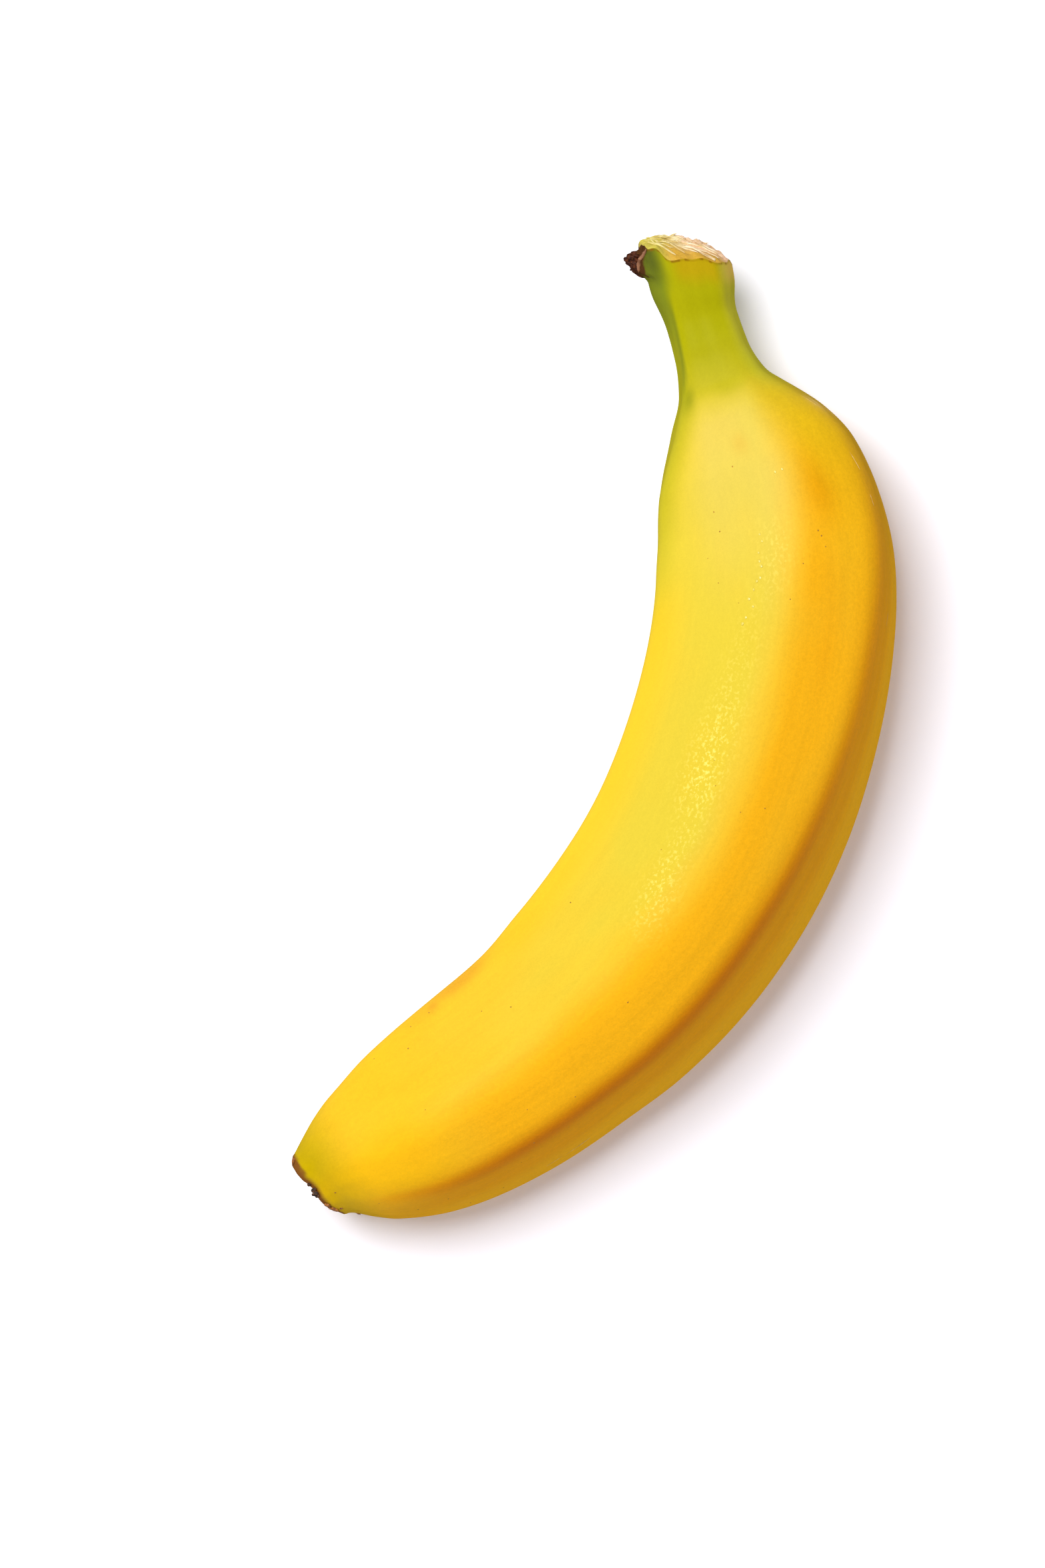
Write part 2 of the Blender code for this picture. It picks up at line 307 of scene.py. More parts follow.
def peel_relief(angle, along):
    """How far the peel stands out or in at each place, in mm."""
    section = np.column_stack((*in_section(np.ones_like(along), angle, along, 0.0), along))
    neck = rise(along, 6, 14) * fall(along, 26, 44)
    crusty = np.clip(flap_height(along, angle) / 1.4, 0, 1)
    rim = hump(along, 183.6, 0.7)
    relief = uneven(section, *FLESH_BELOW) + uneven(section, *FIBRE_RIBS)
    relief += neck * uneven(section, *NECK_FOLDS)
    relief += rise(along, 166, 182) * uneven(section, *TIP_PUCKERS)
    relief += crusty * sum(uneven(section, *crust) for crust in FLAP_CRUST)
    relief += rim * (RIM_CRUST[0] + uneven(section, *RIM_CRUST))
    for middle, rows in FULLNESS.items():
        relief += smooth_through(rows, along) * hump(angle, middle, FULLNESS_SPREAD)
    relief += 0.4 * hump(angle, 72, 30) * hump(along, 6.0, 3.5)
    relief += 0.5 * hump(angle, -80, 35) * hump(along, 9.4, 2.2)
    return relief


def end_relief(share, angle, along):
    """How far both ends stand towards the blossom end at each place, in mm."""
    out, up = in_section(share, angle, along, 0.0)
    half_width = smooth_through(HALF_WIDTH, along)
    lengthways = out * math.cos(STRAND_TURN) + up * math.sin(STRAND_TURN)
    across = up * math.cos(STRAND_TURN) - out * math.sin(STRAND_TURN)
    strand_places = np.column_stack((lengthways, across, along))
    torn = (along < TEAR_PLACE) * (1 - share**8)
    relief = -torn * sum(uneven(strand_places, *strand) for strand in TORN_STRANDS)
    upper = rise(up / half_width, -0.2, 0.5)
    edge = upper * smooth_through(TEAR_EDGE_UPPER, out / half_width)
    edge += (1 - upper) * smooth_through(TEAR_EDGE_LOWER, out / half_width)
    relief += edge * share**3 * fall(along, TEAR_PLACE, 10)
    section = np.column_stack((out, up, along))
    relief += rise(along, 181.5, 184.2) * smooth_through(SCAR_EDGE, out / half_width)
    scar = (along > SCAR_PLACE) * fall(share, 0.6, 0.84)
    return relief + scar * sum(uneven(section, *crust) for crust in SCAR_CRUST)


def turned(outline, steps):
    """A mesh turned round the Z axis from its outline of radius and height."""
    made = bmesh.new()
    points = [made.verts.new((0.0, radius, level)) for radius, level in outline]
    edges = [made.edges.new(pair) for pair in zip(points, points[1:])]
    bmesh.ops.spin(
        made, geom=points + edges, cent=(0, 0, 0), axis=(0, 0, 1),
        angle=math.tau, steps=steps, use_merge=True,
    )
    bmesh.ops.remove_doubles(made, verts=made.verts, dist=0.0001)
    bmesh.ops.recalc_face_normals(made, faces=made.faces)
    return made


shares = np.linspace(0.0, 1.0, END_RINGS + 1)
outline = list(zip(shares, smooth_through(TORN_FLESH, shares)))
place = TEAR_PLACE
for stretch_end, spacing in RING_STRETCHES:
    count = round((stretch_end - place) / spacing)
    outline.extend((1.0, ring) for ring in np.linspace(place, stretch_end, count + 1)[1:])
    place = stretch_end
outline.extend(zip(shares[-2::-1], smooth_through(BLOSSOM_SCAR, shares[-2::-1])))
peg = turned(outline, SIDES)
peg_x, peg_y, along = np.array([vert.co for vert in peg.verts], dtype=float).T
share = np.hypot(peg_x, peg_y)
angle = np.degrees(np.arctan2(peg_x, peg_y))
section = np.column_stack((*in_section(share, angle, along, 0.0), along))
on_peel = (share > 0.999) * 1.0
lift = on_peel * peel_relief(angle, along)
forward = end_relief(share, angle, along)

# Colours of the peel, as shares of each tint. A side place runs from -1 at the inside of the
# bend to 1 at the outside, as seen from above. The tables give shares or side places by the
# place along.
GREEN_ALL_ROUND = ((16, 1.0), (19, 0.92), (22, 0.8), (24.5, 0.64), (27, 0.15), (29.5, 0.0))
GREEN_INNER_EDGE = ((24, 1.0), (28, 0.8), (33, 0.7), (42, 0.6), (50, 0.45), (60, 0.25), (72, 0.1), (84, 0.0))
GREEN_EDGE_START = ((26, 0.3), (30, 0.5), (37, 0.68), (50, 0.78))
GREEN_OUTSIDE = ((20, 0.8), (24, 0.62), (28, 0.5), (36, 0.42), (44, 0.25), (55, 0.1), (65, 0.0))
AMBER_START = ((24, 0.35), (33, 0.05), (45, -0.05), (60, -0.14), (75, -0.26), (105, -0.27), (120, -0.4))
AMBER_FULL = ((24, 0.85), (33, 0.7), (45, 0.5), (60, 0.32), (75, 0.3), (105, 0.26), (120, 0.1))
AMBER_OUTSIDE = ((22, 0.0), (30, 0.8), (45, 1.0), (150, 1.0), (165, 0.6), (177, 0.25), (184.6, 0.2))
AMBER_INSIDE = ((100, 0.0), (135, 0.25), (155, 0.5), (168, 0.45), (184.6, 0.3))
SHADY_OUTER = ((30, 0.0), (42, 0.5), (60, 0.9), (75, 1.0), (150, 1.0), (165, 0.9), (174, 0.4), (182, 0.0))
STALK_INNER = ((8, 1.0), (13, 0.75), (16, 0.45), (19, 0.25), (22, 0.1), (25, 0.0))
STALK_INNER_START = ((4, 0.3), (8, 0.42), (10, 0.55), (13.5, 0.68), (20, 0.72))
STALK_INNER_FULL = ((4, 0.9), (8, 0.78), (10, 0.8), (13.5, 0.86), (20, 0.88))
# Side place of the crease down the stalk, along which a darker line is painted as its shade
STALK_CREASE = ((6, -0.6), (13, -0.76), (23, -0.87))
CROWN_EDGE = ((3, 54), (6.5, 60), (7.4, 66))
# Band beside the crest where the bumps stand higher and their tops carry a painted highlight: its side place and
# its share, by the place along
PEBBLED_SIDE = ((46, 0.0), (56, -0.04), (66, -0.22), (88, -0.3), (104, -0.29), (112, -0.2), (120, -0.12))
PEBBLED_SHARE = ((46, 0.0), (52, 0.35), (62, 0.15), (76, 0.4), (88, 1.0), (108, 1.0), (120, 0.0))
# Share of the painted shade along the outer ridge, a darker orange where the light turns away, by the place along
RIDGE_SHADE_SHARE = ((38, 0.0), (52, 0.3), (75, 0.35), (95, 0.7), (115, 1.0), (150, 1.0), (172, 0.3), (178, 0.0))

# Soft marks: place along, side place, spread along in mm, spread to the side, and strength
SOFT_MARKS = {
    "blotch": (
        (44.8, 0.46, 5.0, 0.13, 0.85), (60, 0.44, 8.0, 0.10, 0.25), (68, 0.41, 5.0, 0.08, 0.25),
    ),
    "stain": (
        (34.7, -0.09, 1.8, 0.10, 0.2), (147.0, -0.96, 9.0, 0.07, 0.6), (152.6, -0.93, 1.6, 0.05, 0.9),
    ),
    # Pale marks on the outer shoulder: a painted highlight
    "shoulder_highlight": ((33.0, 0.92, 1.8, 0.05, 0.3), (35.2, 0.97, 1.4, 0.04, 0.2)),
    # Darker marks in the stalk's crease: painted shade
    "crease_shade": ((25.1, -0.76, 1.6, 0.12, 0.5), (20.0, -0.80, 3.5, 0.05, 0.4)),
}
half_width = smooth_through(HALF_WIDTH, along)
side_place = section[:, 0] / half_width
up_place = section[:, 1] / half_width
upper_half = rise(up_place, -0.3, 0.1)
mottled = lumps(section, (4.0, 4.0, 9.0), 5.5)
cloudy = lumps(section, (9.0, 9.0, 20.0), 0.4)
speckled = lumps(section, (0.5, 0.5, 1.4), 2.6)
outer_ridge = ridge_angle(UPPER_OUTER, OUTER, along)
on_outer_side = rise(angle, outer_ridge - 5, outer_ridge + 3) * fall(angle, 112, 135)
inner_edge = rise(-side_place, smooth_through(GREEN_EDGE_START, along), 1.0)
green = smooth_through(GREEN_ALL_ROUND, along + 1.2 * mottled)
green = np.maximum(green, inner_edge * smooth_through(GREEN_INNER_EDGE, along))
green = np.maximum(green, rise(side_place, 0.15, 0.65) * smooth_through(GREEN_OUTSIDE, along))
amber_start = smooth_through(AMBER_START, along)
amber_full = smooth_through(AMBER_FULL, along)
amber = rise(side_place, amber_start, amber_full) * smooth_through(AMBER_OUTSIDE, along)
amber = np.maximum(amber, smooth_through(AMBER_INSIDE, along))
inner_start = smooth_through(STALK_INNER_START, along)
inner_stalk = rise(-side_place, inner_start, smooth_through(STALK_INNER_FULL, along))
# Painted shade: a darker line down the stalk where its crease lies in shade
crease_shade_line = hump(side_place, smooth_through(STALK_CREASE, along), 0.06)
crease_shade_line *= rise(along, 8, 13) * fall(along, 20, 27)
lip_start = smooth_through(LIP_START, side_place)
crown_edge = smooth_through(CROWN_EDGE, along) + 4 * lumps(section, (1.0, 1.0, 1.6), 4.8)
paints = {
    # Paler, bluer yellow on the upper neck: partly the peel's own colour, partly a painted sheen
    "pale": rise(along, 24, 31) * fall(along, 38, 68) * rise(side_place, -0.85, -0.4)
    * fall(side_place, 0.1, 0.6) * (0.9 + 0.3 * cloudy),
    "warm": rise(along, 150, 168) * (0.45 + 0.55 * rise(side_place, -0.4, 0.2))
    + 0.45 * rise(-side_place, 0.62, 0.95) * rise(along, 50, 68) * fall(along, 130, 150),
    "amber": np.clip(amber + 0.10 * mottled * rise(along, 30, 46) + 0.08 * cloudy, 0, 1),
    # Painted shade: darker orange just past the outer ridge
    "ridge_painted_shade": hump(angle, outer_ridge + 3, 8.0) * smooth_through(RIDGE_SHADE_SHARE, along),
    "shady_side": on_outer_side * smooth_through(SHADY_OUTER, along),
    "lower_gold": on_outer_side * rise(angle, 66, 92) * rise(along, 40, 60) * fall(along, 165, 178),
    "green": green,
    "olive": rise(side_place, 0.5, 0.85) * fall(along, 20, 34),
    "golden": upper_half * fall(along, 4.5, 8.5) * rise(side_place, -0.5, -0.1) * fall(side_place, 0.5, 0.8),
    "tan_corner": upper_half * fall(along, 4.5, 8.5) * rise(side_place, 0.6, 1.0),
    "deep_green": inner_stalk * smooth_through(STALK_INNER, along),
    "shaded_green": rise(-side_place, 0.45, 0.8) * fall(along, 5, 9),
    "tip_green": rise(along, 174, 183) * (0.95 - 0.35 * rise(side_place, -0.5, 0.3)),
    "tear_edge": on_peel * fall(along, 3.2, 3.5) * (0.3 + 0.6 * rise(speckled, -0.1, 0.3)),
    "rim_brown": rise(along + 0.2 * lumps(section, (1.5, 1.5, 4.0), 2.2) - lip_start, -0.15, 0.15),
    "flap_brown": on_peel * rise(-angle, crown_edge, crown_edge + 4) * fall(-angle, 120, 132)
    * fall(along, 7.1, 7.5),
    # Band of higher bumps whose tops carry a painted highlight
    "pebbled_glint_band": upper_half * smooth_through(PEBBLED_SHARE, along) * rise(cloudy, -0.7, 0.1)
    * hump(side_place, smooth_through(PEBBLED_SIDE, along), 0.13),
    "leafy": fall(side_place + 0.1 * mottled, -0.5, 0.0),
    "scorched": fall(side_place + 0.08 * mottled, -0.98, -0.84),
    "peach": rise(side_place + 0.15 * mottled, -0.1, 0.35),
    "gilded": rise(up_place + 0.15 * mottled, 0.3, 0.75) * rise(side_place, -0.6, -0.2),
}
for name, marks in SOFT_MARKS.items():
    # The crease's painted shade starts from its line down the stalk
    paints[name] = 0.7 * crease_shade_line if name == "crease_shade" else np.zeros_like(along)
    for mark_along, mark_side, spread_along, spread_side, strength in marks:
        mark = strength * hump(along, mark_along, spread_along) * hump(side_place, mark_side, spread_side)
        paints[name] = np.maximum(paints[name], upper_half * mark * (1 + 0.4 * mottled))
paints["stain"] *= rise(up_place, 0.0, 0.4) * rise(lumps(section, (2.5, 2.5, 9.0), 7.1), -0.9, 0.3)
# Painted highlight along the outer shoulder, broken into streaks
paints["shoulder_highlight"] *= rise(up_place, 0.2, 0.45) * rise(lumps(section, (0.8, 0.8, 3.0), 3.4), -0.8, 0.2)

PEEL, FLESH, CRUST = range(3)
peg.verts.index_update()
for face in peg.faces:
    index = min(face.verts, key=lambda vert: share[vert.index]).index
    if along[index] < TEAR_PLACE and share[index] < 0.999:
        face.material_index = FLESH
    elif along[index] > SCAR_PLACE and share[index] < LIP_INSIDE:
        face.material_index = CRUST
    else:
        face.material_index = PEEL

straight = peg.verts.layers.float_vector.new("straight")
layers = {name: peg.verts.layers.float.new(name) for name in paints}
places = carry(share, angle, along, lift, forward) * MM
for i, vert in enumerate(peg.verts):
    vert[straight] = section[i]
    vert.co = places[i]
for name, layer in layers.items():
    for vert, value in zip(peg.verts, paints[name]):
        vert[layer] = value

everything = list(peg.verts) + list(peg.edges) + list(peg.faces)
cut = bmesh.ops.bisect_plane(
    peg, geom=everything, plane_co=(0, 0, 0), plane_no=(0, 0, 1), clear_inner=True,
)
cut_edges = [part for part in cut["geom_cut"] if isinstance(part, bmesh.types.BMEdge)]
bmesh.ops.holes_fill(peg, edges=cut_edges, sides=0)
bmesh.ops.recalc_face_normals(peg, faces=peg.faces)
skin_mesh = bpy.data.meshes.new("banana_skin")
peg.to_mesh(skin_mesh)
peg.free()
skin_mesh.shade_smooth()
skin = bpy.data.objects.new("banana_skin", skin_mesh)
bpy.context.collection.objects.link(skin)
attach(skin, "root")
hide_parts("banana")


def linear(hex_colour):
    """An sRGB hex colour as linear red, green, blue and alpha."""
    parts = [int(hex_colour[i : i + 2], 16) / 255 for i in (0, 2, 4)]
    return [p / 12.92 if p <= 0.04045 else ((p + 0.055) / 1.055) ** 2.4 for p in parts] + [1.0]


def add_node(tree, kind, inputs=None, **settings):
    """Adds a node with its settings. An input is a value, or a node's output to link."""
    made = tree.nodes.new("ShaderNode" + kind)
    for name, value in settings.items():
        setattr(made, name, value)
    for socket, value in (inputs or {}).items():
        if isinstance(value, bpy.types.NodeSocket):
            tree.links.new(value, made.inputs[socket])
        else:
            made.inputs[socket].default_value = value
    return made


# Ripe banana peel: waxed by the plant itself, so it has a faint satin gloss that breaks up on the
# small bumps of the skin. Along a band beside the crest the bump tops also carry a painted
# highlight, a paler colour that stands in for the glints there. Fine fibres run lengthways just
# under the skin, and show as streaks.
PALE_YELLOW = "CBB433"
SKIN_TINTS = (
    # The first, paler tint is partly a painted sheen
    ("pale", "CBB54C"), ("warm", "E5B412"), ("amber", "E6A716"), ("blotch", "DC940C"), ("shady_side", "E69E04"),
    # The ridge tint is a painted shade along the outer ridge
    ("lower_gold", "ECAE10"), ("ridge_painted_shade", "CE7A06"), ("green", "9D9907"), ("olive", "B4AE24"),
    ("golden", "AB920A"),
    ("tan_corner", "D4B04C"), ("deep_green", "727C16"), ("shaded_green", "545C18"),
    # On the stalk the darker crease tint is a painted shade, and on the shoulder the pale tint is a painted
    # highlight
    ("crease_shade", "6E7412"), ("tip_green", "B29700"), ("stain", "C98A26"), ("shoulder_highlight", "E4C890"),
    ("tear_edge", "7E560A"), ("rim_brown", "7E4E1A"), ("flap_brown", "4E3016"),
)
# Each pattern: its size across and along in mm, and its relief in mm
SKIN_PATTERNS = {
    "bands": ((2.4, 40.0), 0.006),
    "fibres": ((0.75, 26.0), 0.008),
    "bumps": ((0.48, 0.62), 0.008),
    "grain": ((0.22, 0.25), 0.003),
}
# Darkest and lightest shade of the patterns that show in the colour
SKIN_SHADES = {
    "bands": (0.985, 1.012), "fibres": (0.972, 1.025), "bumps": (0.96, 1.035), "grain": (0.95, 1.05),
}
# Extra height in mm of the bumps in the band, and the pale colour painted on their tops as a highlight
PEBBLE_RELIEF = 0.025
PAINTED_GLINT_COLOUR = "EAD66A"
peel_skin = bpy.data.materials.new("waxy banana peel")
peel_skin.use_nodes = True
tree = peel_skin.node_tree
shader = tree.nodes["Principled BSDF"]
straight_place = add_node(tree, "Attribute", attribute_name="straight").outputs["Vector"]
height = 0.0
patterns = {}
for name, ((across, lengthways), relief) in SKIN_PATTERNS.items():
    per_mm = (1 / across, 1 / across, 1 / lengthways)
    stretched = add_node(tree, "VectorMath", {0: straight_place, 1: per_mm}, operation="MULTIPLY")
    pattern = add_node(tree, "TexNoise", {"Vector": stretched.outputs[0], "Scale": 1.0, "Detail": 2.0})
    patterns[name] = pattern.outputs[0]
    added = add_node(tree, "Math", {0: patterns[name], 1: relief, 2: height}, operation="MULTIPLY_ADD")
    height = added.outputs[0]
pebbled_glint_band = add_node(tree, "Attribute", attribute_name="pebbled_glint_band").outputs["Fac"]
pebbles = add_node(tree, "Math", {0: patterns["bumps"], 1: pebbled_glint_band}, operation="MULTIPLY").outputs[0]
height = add_node(tree, "Math", {0: pebbles, 1: PEBBLE_RELIEF, 2: height}, operation="MULTIPLY_ADD").outputs[0]

# Of a Mix node, socket 0 is the share, 6 and 7 are the two colours, and output 2 is the mix
colour = linear(PALE_YELLOW)
for name, tint in SKIN_TINTS:
    amount = add_node(tree, "Attribute", attribute_name=name).outputs["Fac"]
    mixed = add_node(tree, "Mix", {0: amount, 6: colour, 7: linear(tint)}, data_type="RGBA")
    colour = mixed.outputs[2]
ripe = add_node(tree, "Attribute", attribute_name="amber").outputs["Fac"]
streaky = add_node(tree, "MapRange", {"Value": ripe, 1: 0.0, 2: 1.0, 3: 0.45, 4: 1.0}).outputs[0]
for name, (darkest, lightest) in SKIN_SHADES.items():
    shade = add_node(
        tree, "MapRange", {"Value": patterns[name], 1: 0.3, 2: 0.7, 3: darkest, 4: lightest},
    )
    shaded = add_node(
        tree, "Mix", {0: streaky, 6: colour, 7: shade.outputs[0]}, data_type="RGBA", blend_type="MULTIPLY",
    )
    colour = shaded.outputs[2]
# Painted highlight: in the band the bump tops are mixed towards a pale colour, as glints
bump_tops = add_node(tree, "MapRange", {"Value": patterns["bumps"], 1: 0.52, 2: 0.68, 3: 0.0, 4: 0.8})
glinting = add_node(tree, "Math", {0: bump_tops.outputs[0], 1: pebbled_glint_band}, operation="MULTIPLY")
painted_glint_tops = add_node(tree, "Mix", {0: glinting.outputs[0], 6: colour, 7: linear(PAINTED_GLINT_COLOUR)}, data_type="RGBA")
bumps = add_node(tree, "Bump", {"Height": height, "Distance": MM})
roughness = add_node(tree, "MapRange", {"Value": pebbled_glint_band, 1: 0.0, 2: 1.0, 3: 0.40, 4: 0.32})
tree.links.new(painted_glint_tops.outputs[2], shader.inputs["Base Color"])
tree.links.new(bumps.outputs[0], shader.inputs["Normal"])
tree.links.new(roughness.outputs[0], shader.inputs["Roughness"])
shader.inputs["IOR"].default_value = 1.40
shader.inputs["Specular IOR Level"].default_value = 0.03
skin_mesh.materials.append(peel_skin)

# Torn stalk flesh: pulled apart in strands, so it is dull and streaked along them, cream where
# it is fresh, leafy green next to the inner edge and gilded by drying sap under the upper edge
torn_flesh = bpy.data.materials.new("torn stalk flesh")
torn_flesh.use_nodes = True
tree = torn_flesh.node_tree
shader = tree.nodes["Principled BSDF"]
straight_place = add_node(tree, "Attribute", attribute_name="straight").outputs["Vector"]
turned_place = add_node(
    tree, "VectorRotate", {"Vector": straight_place, "Angle": -STRAND_TURN}, rotation_type="Z_AXIS",
)
# Strands 0.7 mm apart and some 7 mm long, on fine crumbs of 0.3 mm
STRAND_SCALE = (1 / 7, 1 / 0.7, 1 / 3)
CRUMB_SCALE = (1 / 0.3,) * 3
stretched = add_node(tree, "VectorMath", {0: turned_place.outputs[0], 1: STRAND_SCALE}, operation="MULTIPLY")
strand_pattern = add_node(tree, "TexNoise", {"Vector": stretched.outputs[0], "Scale": 1.0, "Detail": 4.0})
crumbs = add_node(tree, "VectorMath", {0: straight_place, 1: CRUMB_SCALE}, operation="MULTIPLY")
crumb_pattern = add_node(tree, "TexNoise", {"Vector": crumbs.outputs[0], "Scale": 1.0, "Detail": 2.0})
colour = linear("CCAE78")
for name, tint in (("peach", "D8B08C"), ("leafy", "B4A63C"), ("gilded", "BC922E"), ("scorched", "54341A")):
    amount = add_node(tree, "Attribute", attribute_name=name).outputs["Fac"]
    mixed = add_node(tree, "Mix", {0: amount, 6: colour, 7: linear(tint)}, data_type="RGBA")
    colour = mixed.outputs[2]
for pattern, darkest, lightest in ((strand_pattern, 0.9, 1.14), (crumb_pattern, 0.94, 1.08)):
    shade = add_node(
        tree, "MapRange", {"Value": pattern.outputs[0], 1: 0.35, 2: 0.62, 3: darkest, 4: lightest},
    )
    shaded = add_node(
        tree, "Mix", {0: 1.0, 6: colour, 7: shade.outputs[0]}, data_type="RGBA", blend_type="MULTIPLY",
    )
    colour = shaded.outputs[2]
roughened = add_node(tree, "Math", {0: strand_pattern.outputs[0], 1: crumb_pattern.outputs[0]}, operation="ADD")
bumps = add_node(tree, "Bump", {"Height": roughened.outputs[0], "Distance": 0.12 * MM})
tree.links.new(colour, shader.inputs["Base Color"])
tree.links.new(bumps.outputs[0], shader.inputs["Normal"])
shader.inputs["Roughness"].default_value = 0.8
shader.inputs["Specular IOR Level"].default_value = 0.2
skin_mesh.materials.append(torn_flesh)

# Blossom crust: what is left of the flower, dried to a nearly black, crumbly cork
blossom_crust = bpy.data.materials.new("dried blossom crust")
blossom_crust.use_nodes = True
tree = blossom_crust.node_tree
shader = tree.nodes["Principled BSDF"]
places_in_mm = add_node(
    tree, "VectorMath",
    {0: add_node(tree, "TexCoord").outputs["Object"], 1: (1000, 1000, 1000)}, operation="MULTIPLY",
)
crumbs = add_node(tree, "TexNoise", {"Vector": places_in_mm.outputs[0], "Scale": 1 / 0.45, "Detail": 3.0})
shade = add_node(tree, "MapRange", {"Value": crumbs.outputs[0], 1: 0.4, 2: 0.65})
colour = add_node(
    tree, "Mix", {0: shade.outputs[0], 6: linear("22150C"), 7: linear("6A4322")}, data_type="RGBA",
)
bumps = add_node(tree, "Bump", {"Height": crumbs.outputs[0], "Distance": 0.3 * MM})
tree.links.new(colour.outputs[2], shader.inputs["Base Color"])
tree.links.new(bumps.outputs[0], shader.inputs["Normal"])
shader.inputs["Roughness"].default_value = 0.7
skin_mesh.materials.append(blossom_crust)


# Strands and scraps of the torn end
# Where the stalk was pulled off the bunch, pale strands of its flesh lie loose on the torn
# face, and soft scraps of it stand up along its far edge. Each grew on the stalk.
STRAND_COUNT = 60
SCRAP_COUNT = 34


def finish_piece(name, made, material):
    """Gives a finished mesh its object, which rides on the fruit's only body."""
    bmesh.ops.recalc_face_normals(made, faces=made.faces)
    mesh = bpy.data.meshes.new(name)
    made.to_mesh(mesh)
    made.free()
    mesh.shade_smooth()
    mesh.materials.append(material)
    piece = bpy.data.objects.new(name, mesh)
    bpy.context.collection.objects.link(piece)
    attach(piece, "root")


def move_points(points, places):
    """Moves a mesh's points to places in mm."""
    for point, place in zip(points, places):
        point.co = Vector(place) * MM


def add_lump(made, half_sizes, wobble, seed):
    """Adds a small uneven lump to a mesh, and gives its points with their places in mm."""
    points = bmesh.ops.create_icosphere(made, subdivisions=2, radius=1.0)["verts"]
    ball = np.array([point.co for point in points])
    swollen = 1 + wobble * lumps(ball, (0.7, 0.7, 0.7), seed)
    return points, ball * swollen[:, None] * np.array(half_sizes)


def lay_on_end(profile, stand_way, x, y, stand):
    """Places on one end of the fruit. X is outwards and y upwards, as shares of the half width."""
    share = np.minimum(np.hypot(x, y), 1.0)
    angle = np.degrees(np.arctan2(x, y))
    along = smooth_through(profile, share)
    return carry(share, angle, along, 0.0, end_relief(share, angle, along) + stand_way * stand)


draw = random.Random(11)
fibres = bmesh.new()
for number in range(STRAND_COUNT):
    turn = STRAND_TURN + math.radians(draw.uniform(-14, 10))
    start = (draw.uniform(-0.85, 0.3), draw.uniform(-0.85, 0.45))
    reach = draw.uniform(0.35, 0.95)
    radius = draw.uniform(0.09, 0.2)
    bend = draw.uniform(-0.12, 0.12)
    free_end = draw.choice((0.0, 0.1, 0.4))
    points = bmesh.ops.create_uvsphere(fibres, u_segments=6, v_segments=14, radius=1.0)["verts"]
    thick, deep, run = np.array([point.co for point in points]).T
    run = (run + 1) / 2
    beside = bend * (run - run**2) + thick * radius / HALF_WIDTH[0][1]
    x = start[0] + reach * run * math.cos(turn) - beside * math.sin(turn)
    y = start[1] + reach * run * math.sin(turn) + beside * math.cos(turn)
    inside = np.minimum(1.0, 0.95 / np.maximum(np.hypot(x, y), 0.001))
    stand = radius * (0.5 + deep) + free_end * run**3
    move_points(points, lay_on_end(TORN_FLESH, -1, x * inside, y * inside, stand))

# Fresh fibre of the stalk: a little glossy from its sap, so it shows as pale threads, yellowish
# next to the leafy inner edge and cream further out
FIBRE_TURNS_CREAM = (9.0, 15.0)
fresh_fibre = bpy.data.materials.new("fresh stalk fibre")
fresh_fibre.use_nodes = True
tree = fresh_fibre.node_tree
shader = tree.nodes["Principled BSDF"]
places_in_mm = add_node(
    tree, "VectorMath",
    {0: add_node(tree, "TexCoord").outputs["Object"], 1: (1000, 1000, 1000)}, operation="MULTIPLY",
)
stained = add_node(tree, "TexNoise", {"Vector": places_in_mm.outputs[0], "Scale": 1 / 1.8, "Detail": 2.0})
shade = add_node(tree, "MapRange", {"Value": stained.outputs[0], 1: 0.38, 2: 0.62})
out_x = add_node(tree, "SeparateXYZ", {0: places_in_mm.outputs[0]}).outputs["X"]
cream = add_node(tree, "MapRange", {"Value": out_x, 1: FIBRE_TURNS_CREAM[0], 2: FIBRE_TURNS_CREAM[1]})
yellowish = add_node(
    tree, "Mix", {0: shade.outputs[0], 6: linear("B8A448"), 7: linear("D8CA7A")}, data_type="RGBA",
)
creamy = add_node(
    tree, "Mix", {0: shade.outputs[0], 6: linear("CCAE76"), 7: linear("E2D2B0")}, data_type="RGBA",
)
colour = add_node(
    tree, "Mix", {0: cream.outputs[0], 6: yellowish.outputs[2], 7: creamy.outputs[2]}, data_type="RGBA",
)
tree.links.new(colour.outputs[2], shader.inputs["Base Color"])
shader.inputs["Roughness"].default_value = 0.55
shader.inputs["Specular IOR Level"].default_value = 0.25
finish_piece("torn_fibres", fibres, fresh_fibre)

scraps = bmesh.new()
for number in range(SCRAP_COUNT):
    x = draw.uniform(0.0, 0.85)
    y = draw.uniform(-0.85, 0.1) * math.sqrt(1 - x * x)
    half_sizes = (draw.uniform(0.5, 1.1), draw.uniform(0.35, 0.7), draw.uniform(0.35, 0.75))
    points, local = add_lump(scraps, half_sizes, 0.5, number + 0.5)
    across = local / HALF_WIDTH[0][1]
    scrap_x = x + across[:, 0] * math.cos(STRAND_TURN) - across[:, 1] * math.sin(STRAND_TURN)
    scrap_y = y + across[:, 0] * math.sin(STRAND_TURN) + across[:, 1] * math.cos(STRAND_TURN)
    inside = np.minimum(1.0, 0.97 / np.maximum(np.hypot(scrap_x, scrap_y), 0.001))
    move_points(points, lay_on_end(TORN_FLESH, -1, scrap_x * inside, scrap_y * inside, local[:, 2]))

